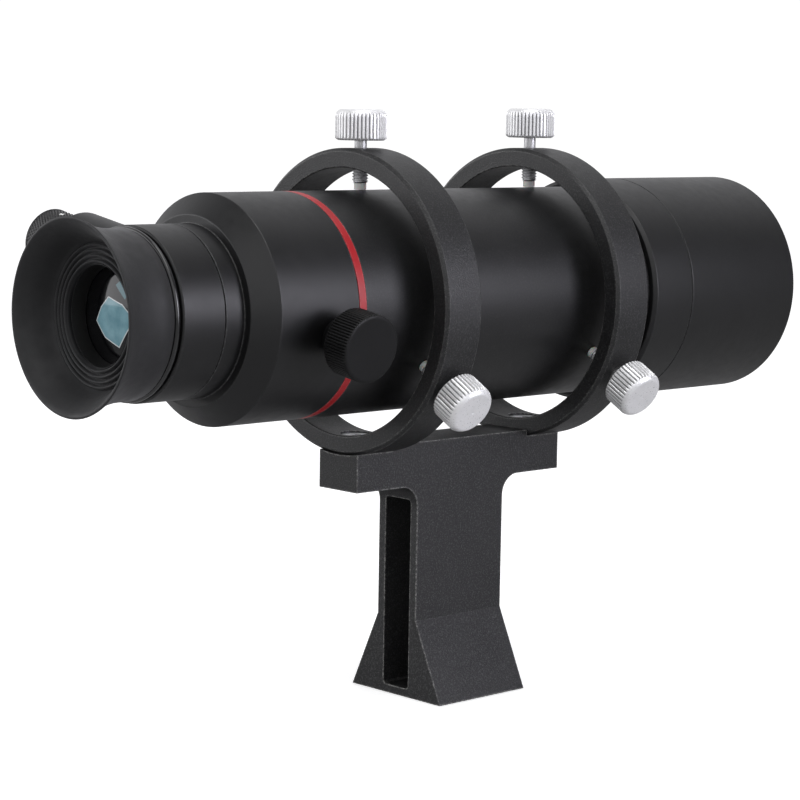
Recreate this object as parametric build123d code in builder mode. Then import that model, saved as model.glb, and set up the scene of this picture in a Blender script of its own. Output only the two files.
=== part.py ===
from build123d import *
import math
import os

# A 50 mm straight finder scope in a two-ring bracket. Millimetres, +Z up, +Y towards the sky.
# The origin is the centre of the foot's underside; +X is the side that carries the lock knob.

# --- bracket ---
FOOT_WIDTH = 32.0  # standard finder shoe
POST_WIDTH = 13.7
POST_DEPTH = 29.7
FOOT_FLARE_HEIGHT = 19.8
PLATFORM_UNDERSIDE = 53.7
PLATFORM_TOP = 64.6
PLATFORM_LENGTH = 70.0
POST_FILLET = 5.2
SLOT_WIDTH = 9.0
SLOT_BOTTOM = 2.1
SLOT_TOP = 49.9
SLOT_CORNER = 0.9

# --- rings ---
AXIS_Z = 99.3
RING_OUTER = 36.9
RING_INNER = 32.2
RING_WIDTH = 11.6
RING_CENTRE = 29.2  # rings stand at plus and minus this along Y
RING_CHAMFER = 0.8

# --- thumbscrews, M4 ---
SCREW_ANGLES = {"top": 90, "right": -30, "left": 210}
SCREW_R = 1.95
SCREW_HOLE_R = 2.0
SCREW_NECK_R = 1.5
HEAD_R = 6.2
HEAD_LENGTH = 7.4
HEAD_TEETH = 40
HEAD_LIFT = {"rear": 38.7, "front": 39.5}  # radius of the head's underside
TIP_FACE = 26.95
TIP_SHOULDER = 28.6
TIP_R = 1.5
TIP_STEM_R = 0.9
TIP_STEM_END = 30.8
STEM_CLEARANCE = 0.05

# --- optical tube ---
TUBE_R = 26.85
TUBE_BORE = 24.3
TUBE_FRONT = 46.4
NOSE_R = 26.3
NOSE_FRONT = 73.0
SPIGOT_R = 23.5
SPIGOT_BORE = 20.0
SPIGOT_REAR = -63.0
TUBE_REAR = -50.85
BAND_REAR = -52.95  # the red band lies between this and the tube
GROOVE_R = 22.7
PRISM_HALF = 10.0

# --- front group ---
FRONT_R = 28.9
JOINT_Y = 61.2
FRONT_END = 103.3
SHIELD_BORE = 27.4
LENS_R = 25.3
CELL_BORE = 25.4

# --- rear housing ---
HOUSING_FRONT = -53.05
CHAMFER_START = -76.2
CHAMFER_END = -81.1
NECK_R = 19.97
NECK_REAR = -86.35
SLEEVE_REAR = -95.0
ROLL = 9.8  # the housing is turned this far, so knob and illuminator lean
KNOB_ANGLE = -ROLL
LAMP_ANGLE = 180 - ROLL
KNOB_Y = -60.2
KNOB_R = 7.87
KNOB_BASE = 31.8
KNOB_TOP = 39.4
KNOB_TEETH = 64
LAMP_Y = -69.0
LAMP_BODY_R = 9.8
LAMP_BODY_END = 62.0
LAMP_CAP_R = 7.87
LAMP_CAP_BASE = 62.3
LAMP_CAP_END = 72.7

# --- eyepiece ---
EYE_BODY_R = 14.5
EYE_LENS_R = 12.4
BARREL_REAR = -98.25
SLEEVE_FRONT = -99.96
CUP_FLOOR = -106.6
CUP_RIM = -114.2
CUP_RIM_R = 22.25
CUP_OPENING = 11.4

OPTICAL_AXIS = Axis((0, 0, AXIS_Z), (0, 1, 0))

os.makedirs("parts", exist_ok=True)


def save(piece, name):
    piece.label = name
    export_step(piece, f"parts/{name}.step")


def turned(*profile, mode=Mode.ADD):
    """Turn a closed (y, radius) outline about the optical axis."""
    with BuildSketch(Plane.YZ) as section:
        with BuildLine():
            Polyline(*[(y, AXIS_Z + r) for y, r in profile], close=True)
        make_face()
    revolve(section.sketch, axis=OPTICAL_AXIS, mode=mode)


def sleeve(y0, y1, outer, inner, mode=Mode.ADD):
    """A plain ring about the optical axis."""
    turned((y0, inner), (y1, inner), (y1, outer), (y0, outer), mode=mode)


def radial(y, angle):
    """A plane on the optical axis whose normal points outwards at this angle from +X."""
    a = math.radians(angle)
    return Plane(origin=(0, y, AXIS_Z), x_dir=(0, 1, 0), z_dir=(math.cos(a), 0, math.sin(a)))


def spun(plane, *profile, mode=Mode.ADD):
    """Turn a closed (height, radius) outline about the plane's normal."""
    side = Plane(origin=plane.origin, x_dir=plane.x_dir, z_dir=-plane.y_dir)
    with BuildSketch(side) as section:
        with BuildLine():
            Polyline(*[(r, h) for h, r in profile], close=True)
        make_face()
    revolve(section.sketch, axis=Axis(plane.origin, plane.z_dir), mode=mode)


def knurl(plane, low, high, radius, teeth, depth):
    """Cut straight V grooves round a knob between two heights."""
    with BuildSketch(plane.offset(low)) as grooves:
        with PolarLocations(radius, teeth):
            Rectangle(depth * 1.6, depth * 1.6, rotation=45)
    extrude(grooves.sketch, amount=high - low, mode=Mode.SUBTRACT)


def arc_to(start_y, start_r, end_y):
    """A spherical lens surface from its rim to its vertex on the axis."""
    sag = end_y - start_y
    sphere = (start_r**2 + sag**2) / (2 * sag)
    half = start_r / 2
    half_y = end_y - sphere + math.copysign(math.sqrt(sphere**2 - half**2), sphere)
    return ThreePointArc((start_y, AXIS_Z + start_r), (half_y, AXIS_Z + half), (end_y, AXIS_Z))


def lens(radius, front_rim, front_vertex, rear_rim, rear_vertex):
    """A lens element; front is the side towards the sky."""
    with BuildSketch(Plane.YZ) as section:
        with BuildLine():
            arc_to(front_rim, radius, front_vertex)
            Line((front_vertex, AXIS_Z), (rear_vertex, AXIS_Z))
            arc_to(rear_rim, radius, rear_vertex)
            Line((rear_rim, AXIS_Z + radius), (front_rim, AXIS_Z + radius))
        make_face()
    revolve(section.sketch, axis=OPTICAL_AXIS)


# ---------------------------------------------------------------- bracket, anodised aluminium
with BuildPart() as bracket:
    # The post and its platform are one flat T seen from the side.
    with BuildSketch(Plane.YZ.offset(-POST_WIDTH / 2)) as tee:
        with BuildLine():
            Polyline(
                (-POST_DEPTH / 2, 0),
                (POST_DEPTH / 2, 0),
                (POST_DEPTH / 2, PLATFORM_UNDERSIDE),
                (PLATFORM_LENGTH / 2, PLATFORM_UNDERSIDE),
                (PLATFORM_LENGTH / 2, PLATFORM_TOP),
                (-PLATFORM_LENGTH / 2, PLATFORM_TOP),
                (-PLATFORM_LENGTH / 2, PLATFORM_UNDERSIDE),
                (-POST_DEPTH / 2, PLATFORM_UNDERSIDE),
                close=True,
            )
        make_face()
        underside = tee.vertices().filter_by_position(
            Axis.Y, PLATFORM_UNDERSIDE - 0.1, PLATFORM_UNDERSIDE + 0.1
        )
        fillet(underside.sort_by(Axis.X)[1:3], POST_FILLET)
    extrude(amount=POST_WIDTH)
    # The foot flares out to the dovetail width.
    with BuildSketch(Plane.XZ.offset(-POST_DEPTH / 2)):
        with BuildLine():
            Polyline(
                (-FOOT_WIDTH / 2, 0),
                (FOOT_WIDTH / 2, 0),
                (POST_WIDTH / 2, FOOT_FLARE_HEIGHT),
                (-POST_WIDTH / 2, FOOT_FLARE_HEIGHT),
                close=True,
            )
        make_face()
    extrude(amount=POST_DEPTH)
    # Window through the post from back to front.
    with BuildSketch(Plane.XZ.offset(-POST_DEPTH)):
        with Locations((0, (SLOT_BOTTOM + SLOT_TOP) / 2)):
            RectangleRounded(SLOT_WIDTH, SLOT_TOP - SLOT_BOTTOM, SLOT_CORNER)
    extrude(amount=2 * POST_DEPTH, mode=Mode.SUBTRACT)
    # Saddles that seat the rings, and the tapped holes for their bolts.
    for side in (-1, 1):
        sleeve(
            side * RING_CENTRE - RING_WIDTH / 2,
            side * RING_CENTRE + RING_WIDTH / 2,
            RING_OUTER,
            0,
            mode=Mode.SUBTRACT,
        )
        with BuildSketch(Plane.XY.offset(57.0)):
            with Locations((0, side * RING_CENTRE)):
                Circle(SCREW_HOLE_R)
        extrude(amount=10, mode=Mode.SUBTRACT)
save(bracket.part, "bracket")

# ---------------------------------------------------------------- rings
for ring_name, ring_y in (("rear", -RING_CENTRE), ("front", RING_CENTRE)):
    low = ring_y - RING_WIDTH / 2
    high = ring_y + RING_WIDTH / 2
    with BuildPart() as ring:
        turned(
            (low, RING_INNER),
            (low, RING_OUTER - RING_CHAMFER),
            (low + RING_CHAMFER, RING_OUTER),
            (high - RING_CHAMFER, RING_OUTER),
            (high, RING_OUTER - RING_CHAMFER),
            (high, RING_INNER),
        )
        for angle in SCREW_ANGLES.values():
            hole = ((20, 0), (20, SCREW_HOLE_R), (45, SCREW_HOLE_R), (45, 0))
            spun(radial(ring_y, angle), *hole, mode=Mode.SUBTRACT)
        seat = ((30, 0), (30, 4.0), (32.6, 4.0), (34.6, 2.0), (40, 2.0), (40, 0))
        spun(radial(ring_y, 270), *seat, mode=Mode.SUBTRACT)
    save(ring.part, f"{ring_name}_ring")

# Countersunk bolts that hold the rings down, steel.
with BuildPart() as ring_bolts:
    for side in (-1, 1):
        bolt_plane = radial(side * RING_CENTRE, 270)
        spun(bolt_plane, (32.5, 0), (32.5, 4.0), (32.6, 4.0), (34.6, 2.0), (42.2, 2.0), (42.2, 0))
        with BuildSketch(bolt_plane.offset(32.5)):
            RegularPolygon(1.45, 6)
        extrude(amount=1.4, mode=Mode.SUBTRACT)
save(ring_bolts.part, "ring_bolts")

# ---------------------------------------------------------------- thumbscrews and nylon tips
for ring_name, ring_y in (("rear", -RING_CENTRE), ("front", RING_CENTRE)):
    base = HEAD_LIFT[ring_name]
    for place, angle in SCREW_ANGLES.items():
        plane = radial(ring_y, angle)
        with BuildPart() as thumbscrew:
            spun(
                plane,
                (TIP_SHOULDER, 0),
                (TIP_SHOULDER, SCREW_R - 0.2),
                (TIP_SHOULDER + 0.2, SCREW_R),
                (36.4, SCREW_R),
                (36.8, SCREW_NECK_R),
                (base, SCREW_NECK_R),
                (base, HEAD_R - 0.5),
                (base + 0.4, HEAD_R),
                (base + HEAD_LENGTH - 1.2, HEAD_R),
                (base + HEAD_LENGTH - 0.2, HEAD_R - 0.8),
                (base + HEAD_LENGTH, HEAD_R - 1.1),
                (base + HEAD_LENGTH, 0),
            )
            knurl(plane, base - 0.1, base + HEAD_LENGTH - 1.4, HEAD_R + 0.05, HEAD_TEETH, 0.3)
            bore = TIP_STEM_R + STEM_CLEARANCE
            spun(plane, (28, 0), (28, bore), (31, bore), (31, 0), mode=Mode.SUBTRACT)
        save(thumbscrew.part, f"{ring_name}_{place}_screw")
        with BuildPart() as tip:
            spun(
                plane,
                (TIP_FACE, 0),
                (TIP_FACE, TIP_R - 0.15),
                (TIP_FACE + 0.15, TIP_R),
                (TIP_SHOULDER - 0.05, TIP_R),
                (TIP_SHOULDER - 0.05, TIP_STEM_R),
                (TIP_STEM_END, TIP_STEM_R),
                (TIP_STEM_END, 0),
            )
        save(tip.part, f"{ring_name}_{place}_tip")

# ---------------------------------------------------------------- main tube, black anodised
with BuildPart() as main_tube:
    turned(
        (SPIGOT_REAR, SPIGOT_BORE),
        (SPIGOT_REAR, SPIGOT_R),
        (KNOB_Y - 1.6, SPIGOT_R),
        (KNOB_Y - 1.6, GROOVE_R),
        (KNOB_Y + 1.6, GROOVE_R),
        (KNOB_Y + 1.6, SPIGOT_R),
        (TUBE_REAR, SPIGOT_R),
        (TUBE_REAR, TUBE_R),
        (TUBE_FRONT, TUBE_R),
        (TUBE_FRONT, NOSE_R),
        (NOSE_FRONT, NOSE_R),
        (NOSE_FRONT, TUBE_BORE),
        (-47.0, TUBE_BORE),
        (-47.0, SPIGOT_BORE),
    )
save(main_tube.part, "main_tube")

with BuildPart() as red_band:
    sleeve(BAND_REAR, TUBE_REAR, TUBE_R, SPIGOT_R)
save(red_band.part, "red_band")

with BuildPart() as tube_baffles:
    for y, aperture in ((8.0, 17.0), (34.0, 20.5), (58.0, 22.8)):
        sleeve(y, y + 0.8, TUBE_BORE, aperture)
save(tube_baffles.part, "tube_baffles")

# Erecting prism pair in its cage, in front of the spigot.
with BuildPart() as prism_cage:
    sleeve(-46.9, -18.0, TUBE_BORE, PRISM_HALF)
    with BuildSketch(Plane.XZ.offset(19.5)):
        with Locations((0, AXIS_Z + 0.9)):
            Rectangle(2 * PRISM_HALF, 34.0)
    extrude(amount=25.8, mode=Mode.SUBTRACT)
    with BuildSketch(Plane.XZ.offset(20.5)):
        with Locations((20.5, AXIS_Z), (-20.5, AXIS_Z)):
            Rectangle(10, 50)
    extrude(amount=23.8, mode=Mode.SUBTRACT)
save(prism_cage.part, "prism_cage")

with BuildPart() as entrance_prism:
    with BuildSketch(Plane.YZ.offset(-PRISM_HALF)):
        with BuildLine():
            Polyline(
                (-20.0, AXIS_Z + 12.0),
                (-20.0, AXIS_Z - 10.0),
                (-32.0, AXIS_Z - 14.97),
                (-39.48, AXIS_Z - 7.48),
                close=True,
            )
        make_face()
    extrude(amount=2 * PRISM_HALF)
save(entrance_prism.part, "entrance_prism")

with BuildPart() as roof_prism:
    with BuildSketch(Plane.YZ.offset(-PRISM_HALF)):
        with BuildLine():
            Polyline(
                (-44.8, AXIS_Z - 12.4),
                (-44.8, AXIS_Z + 16.4),
                (-24.4, AXIS_Z + 8.0),
                close=True,
            )
        make_face()
    extrude(amount=2 * PRISM_HALF)
    # The upper face is a right-angled roof whose ridge runs fore and aft.
    ridge = Vector(0, -20.4, 8.4).normalized()
    roof = Plane(origin=(0, -24.4, AXIS_Z + 8.0), x_dir=(1, 0, 0), z_dir=ridge)
    with BuildSketch(roof.offset(-10)):
        for side in (-1, 1):
            with BuildLine():
                Polyline((0, 0), (side * -20, 20), (side * -20, -20), close=True)
            make_face()
    extrude(amount=60, mode=Mode.SUBTRACT)
save(roof_prism.part, "roof_prism")

# ---------------------------------------------------------------- front group
with BuildPart() as lock_ring:
    turned(
        (TUBE_FRONT + 0.1, NOSE_R + 0.05),
        (TUBE_FRONT + 0.1, FRONT_R - 0.9),
        (TUBE_FRONT + 1.0, FRONT_R),
        (JOINT_Y - 0.3, FRONT_R),
        (JOINT_Y - 0.1, FRONT_R - 0.2),
        (JOINT_Y - 0.1, NOSE_R + 0.05),
    )
save(lock_ring.part, "lock_ring")

with BuildPart() as dew_shield:
    turned(
        (JOINT_Y, SHIELD_BORE),
        (JOINT_Y, FRONT_R - 0.2),
        (JOINT_Y + 0.2, FRONT_R),
        (FRONT_END - 0.4, FRONT_R),
        (FRONT_END, FRONT_R - 0.4),
        (FRONT_END, SHIELD_BORE + 0.3),
        (FRONT_END - 0.3, SHIELD_BORE),
    )
save(dew_shield.part, "dew_shield")

with BuildPart() as objective_cell:
    turned(
        (JOINT_Y + 0.4, NOSE_R + 0.05),
        (JOINT_Y + 0.4, SHIELD_BORE),
        (90.0, SHIELD_BORE),
        (90.0, CELL_BORE),
        (76.4, CELL_BORE),
        (76.4, 24.6),
        (73.4, 24.6),
        (73.4, NOSE_R + 0.05),
    )
save(objective_cell.part, "objective_cell")

with BuildPart() as flint_lens:
    lens(LENS_R, 82.8, 79.2, 76.5, 75.7)
save(flint_lens.part, "flint_lens")

with BuildPart() as objective_spacer:
    turned((82.82, LENS_R), (83.07, LENS_R), (82.79, LENS_R - 1.0), (82.54, LENS_R - 1.0))
save(objective_spacer.part, "objective_spacer")

with BuildPart() as crown_lens:
    lens(LENS_R, 86.1, 88.8, 83.1, 79.5)
save(crown_lens.part, "crown_lens")

with BuildPart() as objective_retainer:
    sleeve(86.55, 89.4, CELL_BORE, 24.2)
    for angle in (0, 90, 180, 270):
        turn = radial(89.4, angle)
        with BuildSketch(turn.offset(23)):
            Rectangle(2.4, 1.4)
        extrude(amount=4, mode=Mode.SUBTRACT)
save(objective_retainer.part, "objective_retainer")

# ---------------------------------------------------------------- rear housing, black anodised
with BuildPart() as rear_housing:
    turned(
        (HOUSING_FRONT, SPIGOT_R + 0.05),
        (HOUSING_FRONT, TUBE_R),
        (CHAMFER_START, TUBE_R),
        (CHAMFER_END, TUBE_R + CHAMFER_END - CHAMFER_START),
        (CHAMFER_END, NECK_R),
        (NECK_REAR, NECK_R),
        (NECK_REAR, 16.5),
        (SLEEVE_REAR, 16.5),
        (SLEEVE_REAR, EYE_BODY_R + 0.05),
        (-74.0, EYE_BODY_R + 0.05),
        (-74.0, 18.5),
        (-63.5, 18.5),
        (-63.5, SPIGOT_R + 0.05),
    )
    lock_hole = ((18, 0), (18, 2.05), (30, 2.05), (30, 0))
    spun(radial(KNOB_Y, KNOB_ANGLE), *lock_hole, mode=Mode.SUBTRACT)
    port = ((15, 0), (15, 4.0), (30, 4.0), (30, 0))
    spun(radial(LAMP_Y, LAMP_ANGLE), *port, mode=Mode.SUBTRACT)
save(rear_housing.part, "rear_housing")

with BuildPart() as reticle_cell:
    turned(
        (-70.7, 11.5),
        (-70.7, 18.5),
        (-71.9, 18.5),
        (-71.9, 11.5),
    )
    sleeve(-70.7, -69.2, 15.0, 13.0)
save(reticle_cell.part, "reticle_cell")

with BuildPart() as reticle:
    sleeve(-70.7, -69.2, 13.0, 0)
save(reticle.part, "reticle")

# ---------------------------------------------------------------- lock knob
with BuildPart() as lock_knob:
    plane = radial(KNOB_Y, KNOB_ANGLE)
    spun(
        plane,
        (24.4, 0),
        (24.4, 2.0),
        (27.6, 2.0),
        (27.6, 4.5),
        (KNOB_BASE, 4.5),
        (KNOB_BASE, KNOB_R - 0.4),
        (KNOB_BASE + 0.4, KNOB_R),
        (KNOB_TOP - 0.3, KNOB_R),
        (KNOB_TOP, KNOB_R - 0.3),
        (KNOB_TOP, 0),
    )
    knurl(plane, KNOB_BASE - 0.1, KNOB_TOP + 0.1, KNOB_R + 0.05, KNOB_TEETH, 0.22)
    spun(plane, (24, 0), (24, 0.95), (26.6, 0.95), (26.6, 0), mode=Mode.SUBTRACT)
save(lock_knob.part, "lock_knob")

with BuildPart() as lock_tip:
    plane = radial(KNOB_Y, KNOB_ANGLE)
    tip_outline = ((22.8, 0), (22.8, 1.5), (24.3, 1.5), (24.3, 0.9), (26.5, 0.9), (26.5, 0))
    spun(plane, *tip_outline)
save(lock_tip.part, "lock_tip")

# ---------------------------------------------------------------- reticle illuminator
lamp = radial(LAMP_Y, LAMP_ANGLE)
CELL_BAY_R = 6.0
with BuildPart() as illuminator_body:
    spun(
        lamp,
        (19.6, 0),
        (19.6, 4.0),
        (30.2, 4.0),
        (30.2, LAMP_BODY_R - 1.6),
        (31.8, LAMP_BODY_R),
        (LAMP_BODY_END - 2.6, LAMP_BODY_R),
        (LAMP_BODY_END - 0.8, LAMP_BODY_R - 0.9),
        (LAMP_BODY_END, LAMP_BODY_R - 2.2),
        (LAMP_BODY_END, 0),
    )
    spun(lamp, (36, 0), (36, CELL_BAY_R), (63, CELL_BAY_R), (63, 0), mode=Mode.SUBTRACT)
    spun(lamp, (19, 0), (19, 1.5), (37, 1.5), (37, 0), mode=Mode.SUBTRACT)
save(illuminator_body.part, "illuminator_body")

with BuildPart() as illuminator_lamp:
    spun(lamp, (17.7, 0), (17.9, 0.9), (18.6, 1.5), (23.0, 1.5), (23.0, 0))
save(illuminator_lamp.part, "illuminator_lamp")

with BuildPart() as button_cells:
    for base in (45.2, 50.7):
        cap = [(base, 0), (base, 4.6), (base + 0.6, 5.0)]
        can = [(base + 0.6, 5.8), (base + 5.4, 5.8), (base + 5.4, 0)]
        spun(lamp, *cap, *can)
save(button_cells.part, "button_cells")

with BuildPart() as contact_spring:
    with BuildLine() as coil:
        Helix(2.0, 8.0, 3.4, center=lamp.offset(36.6).origin, direction=lamp.z_dir)
    with BuildSketch(Plane(origin=coil.line @ 0, z_dir=coil.line % 0)):
        Circle(0.35)
    sweep(is_frenet=True)
save(contact_spring.part, "contact_spring")

with BuildPart() as dimmer_cap:
    spun(
        lamp,
        (57.0, 0),
        (57.0, CELL_BAY_R - 0.05),
        (LAMP_CAP_BASE, CELL_BAY_R - 0.05),
        (LAMP_CAP_BASE, LAMP_CAP_R - 0.5),
        (LAMP_CAP_BASE + 0.5, LAMP_CAP_R),
        (LAMP_CAP_END - 0.6, LAMP_CAP_R),
        (LAMP_CAP_END, LAMP_CAP_R - 0.6),
        (LAMP_CAP_END, 0),
    )
    knurl(lamp, LAMP_CAP_BASE + 0.9, LAMP_CAP_END + 0.1, LAMP_CAP_R + 0.05, KNOB_TEETH, 0.22)
save(dimmer_cap.part, "dimmer_cap")

# ---------------------------------------------------------------- eyepiece
with BuildPart() as eyepiece_cell:
    turned(
        (-76.5, EYE_LENS_R),
        (-76.5, EYE_BODY_R),
        (BARREL_REAR, EYE_BODY_R),
        (BARREL_REAR, 16.8),
        (-105.4, 16.8),
        (-105.4, 11.6),
        (-102.6, 11.0),
        (-101.8, 11.0),
        (-101.8, EYE_LENS_R),
    )
save(eyepiece_cell.part, "eyepiece_cell")

with BuildPart() as eye_lens:
    lens(EYE_LENS_R, -98.0, -94.9, -101.4, -103.0)
save(eye_lens.part, "eye_lens")

with BuildPart() as lens_spacer:
    sleeve(-97.4, -84.45, EYE_LENS_R, EYE_LENS_R - 1.0)
save(lens_spacer.part, "lens_spacer")

with BuildPart() as field_lens:
    lens(EYE_LENS_R, -80.6, -78.6, -84.0, -86.4)
save(field_lens.part, "field_lens")

with BuildPart() as field_retainer:
    sleeve(-80.15, -77.3, EYE_LENS_R, 11.2)
save(field_retainer.part, "field_retainer")

with BuildPart() as dioptre_ring:
    turned(
        (NECK_REAR - 0.1, 16.6),
        (NECK_REAR - 0.1, NECK_R),
        (BARREL_REAR + 0.5, NECK_R),
        (BARREL_REAR + 0.1, NECK_R - 0.4),
        (BARREL_REAR + 0.1, EYE_BODY_R + 0.05),
        (SLEEVE_REAR - 0.15, EYE_BODY_R + 0.05),
        (SLEEVE_REAR - 0.15, 16.6),
    )
save(dioptre_ring.part, "dioptre_ring")

with BuildPart() as trim_ring:
    turned(
        (BARREL_REAR, 16.8),
        (BARREL_REAR, 19.4),
        (BARREL_REAR - 0.5, 19.9),
        (SLEEVE_FRONT + 0.5, 19.9),
        (SLEEVE_FRONT, 19.5),
        (SLEEVE_FRONT, 16.8),
    )
save(trim_ring.part, "trim_ring")

RIB_TOPS = (12.2, 13.4, 14.6, 15.8)
with BuildPart() as eyecup:
    with BuildSketch(Plane.YZ) as cup:
        with BuildLine():
            Polyline(
                (-105.4, AXIS_Z + CUP_OPENING),
                (-105.4, AXIS_Z + 16.8),
                (SLEEVE_FRONT, AXIS_Z + 16.8),
                (SLEEVE_FRONT, AXIS_Z + 19.0),
                (SLEEVE_FRONT - 0.3, AXIS_Z + 19.3),
                (-103.2, AXIS_Z + 19.3),
            )
            Spline(
                (-103.2, AXIS_Z + 19.3),
                (-108.5, AXIS_Z + 19.9),
                (-112.6, AXIS_Z + 21.5),
                (CUP_RIM, AXIS_Z + CUP_RIM_R),
            )
            Line((CUP_RIM, AXIS_Z + CUP_RIM_R), (CUP_RIM - 0.1, AXIS_Z + CUP_RIM_R - 0.6))
            Spline(
                (CUP_RIM - 0.1, AXIS_Z + CUP_RIM_R - 0.6),
                (-111.9, AXIS_Z + 19.6),
                (-108.6, AXIS_Z + 17.9),
                (CUP_FLOOR, AXIS_Z + 16.9),
            )
            Polyline(
                (CUP_FLOOR, AXIS_Z + 16.9),
                (CUP_FLOOR, AXIS_Z + CUP_OPENING),
                (-105.4, AXIS_Z + CUP_OPENING),
            )
        make_face()
    revolve(cup.sketch, axis=OPTICAL_AXIS)
    for rib in RIB_TOPS:
        sleeve(CUP_FLOOR - 0.35, CUP_FLOOR + 0.1, rib + 0.3, rib - 0.3)
save(eyecup.part, "eyecup")
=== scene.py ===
import math

import bmesh
import bpy
from mathutils import Matrix, Vector


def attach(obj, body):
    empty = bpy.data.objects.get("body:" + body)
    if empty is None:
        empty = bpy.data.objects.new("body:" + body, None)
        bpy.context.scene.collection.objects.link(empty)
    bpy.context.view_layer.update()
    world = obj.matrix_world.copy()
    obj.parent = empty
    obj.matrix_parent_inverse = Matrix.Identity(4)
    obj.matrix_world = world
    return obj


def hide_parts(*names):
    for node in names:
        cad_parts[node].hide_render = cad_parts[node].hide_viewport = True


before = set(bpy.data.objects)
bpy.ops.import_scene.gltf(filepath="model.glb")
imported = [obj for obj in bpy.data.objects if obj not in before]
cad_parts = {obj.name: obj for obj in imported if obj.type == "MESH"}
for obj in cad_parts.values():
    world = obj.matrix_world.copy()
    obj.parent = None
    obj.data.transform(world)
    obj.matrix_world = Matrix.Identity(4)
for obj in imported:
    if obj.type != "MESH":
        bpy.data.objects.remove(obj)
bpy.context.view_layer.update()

MM = 0.001

# Sizes in mm; places along the tube are heights along +Y from the bracket's middle.
HALF_FOOT = 16.0
HALF_POST_WIDTH = 6.85
HALF_POST = 14.85
FLARE_TOP = 19.8
FILLET = 5.2
UNDERSIDE = 53.7
PLATFORM_TOP = 64.6
HALF_PLATFORM = 35
HALF_WINDOW = 3.6
WINDOW_LOW = 3.0
WINDOW_HIGH = 49.0
WINDOW_CORNER = 0.9

AXIS_Z = 99.3
RING_CENTRE = 29.2
RING_WIDTH = 11.6
RING_OUTER = 36.9
RING_INNER = 32.2
RING_CHAMFER = 0.8

SCREW_ANGLES = {"top": 90, "right": -30, "left": 210}
HEAD_LIFT = {"rear": 38.7, "front": 39.5}
HEAD_R = 6.2
HEAD_LENGTH = 7.4
HEAD_TEETH = 40
M4_R = 1.95
M4_ROOT_R = 1.58
M4_PITCH = 0.7
NECK_SCREW_R = 1.5

TUBE_R = 26.85
TUBE_BORE = 24.3
TUBE_FRONT = 46.4
TUBE_REAR = -50.85
NOSE_R = 26.3
SPIGOT_R = 23.5
BAND_REAR = -52.95
FRONT_R = 28.9
SHIELD_BORE = 27.4
SHIELD_END = 103.3
CELL_BORE = 25.4
LENS_R = 25.3

ROLL = 9.8
HOUSING_FRONT = -53.05
NECK_R = 19.97
NECK_REAR = -86.35
EYE_BORE = 14.55
KNOB_Y = -60.2
KNOB_R = 7.87
KNOB_TEETH = 72
LAMP_Y = -69.0
LAMP_R = 9.8
CAP_R = 7.87
CAP_TEETH = 56


# ------------------------------------------------------------------ materials
def node_material(name):
    material = bpy.data.materials.new(name)
    material.use_nodes = True
    tree = material.node_tree
    return material, tree, tree.nodes["Principled BSDF"]


def add(tree, kind, **settings):
    node = tree.nodes.new(kind)
    for key, value in settings.items():
        if key in node.inputs:
            node.inputs[key].default_value = value
        else:
            setattr(node, key, value)
    return node


def grain(tree, scale, detail=3.0, stretch=(1, 1, 1), roughness=0.55):
    """A noise value in the object's own metres; stretch above 1 makes it finer along that axis."""
    place = add(tree, "ShaderNodeTexCoord")
    mapping = add(tree, "ShaderNodeMapping")
    mapping.inputs["Scale"].default_value = stretch
    noise = add(tree, "ShaderNodeTexNoise", Scale=scale, Detail=detail, Roughness=roughness)
    tree.links.new(place.outputs["Object"], mapping.inputs["Vector"])
    tree.links.new(mapping.outputs["Vector"], noise.inputs["Vector"])
    return noise.outputs["Fac"]


def ramp(tree, value, low, high, start=0.3, end=0.7):
    """Spread a 0 to 1 value between two numbers or two colours."""
    node = tree.nodes.new("ShaderNodeValToRGB")
    tree.links.new(value, node.inputs["Fac"])
    as_colour = (lambda c: (c, c, c, 1)) if isinstance(low, float) else (lambda c: (*c, 1))
    node.color_ramp.elements[0].position = start
    node.color_ramp.elements[0].color = as_colour(low)
    node.color_ramp.elements[1].position = end
    node.color_ramp.elements[1].color = as_colour(high)
    return node.outputs["Color"]


def edge_mask(tree, radius):
    """1 where the surface bends sharply within the radius, 0 on flats."""
    bevel = add(tree, "ShaderNodeBevel", samples=4, Radius=radius)
    geometry = add(tree, "ShaderNodeNewGeometry")
    dot = add(tree, "ShaderNodeVectorMath", operation="DOT_PRODUCT")
    tree.links.new(bevel.outputs["Normal"], dot.inputs[0])
    tree.links.new(geometry.outputs["True Normal"], dot.inputs[1])
    return ramp(tree, dot.outputs["Value"], 1.0, 0.0, 0.84, 0.95)


def mix_colour(tree, factor, a, b):
    node = add(tree, "ShaderNodeMix", data_type="RGBA")
    tree.links.new(factor, node.inputs["Factor"])
    for socket, value in (("A", a), ("B", b)):
        target = [s for s in node.inputs if s.name == socket and s.type == "RGBA"][0]
        if isinstance(value, tuple):
            target.default_value = (*value, 1)
        else:
            tree.links.new(value, target)
    return [s for s in node.outputs if s.type == "RGBA"][0]


def product(tree, a, b):
    node = add(tree, "ShaderNodeMath", operation="MULTIPLY")
    tree.links.new(a, node.inputs[0])
    tree.links.new(b, node.inputs[1])
    return node.outputs[0]


def bump(tree, shader, height, distance, strength=1.0):
    node = add(tree, "ShaderNodeBump", Strength=strength, Distance=distance)
    tree.links.new(height, node.inputs["Height"])
    tree.links.new(node.outputs["Normal"], shader.inputs["Normal"])
    return node


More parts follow.
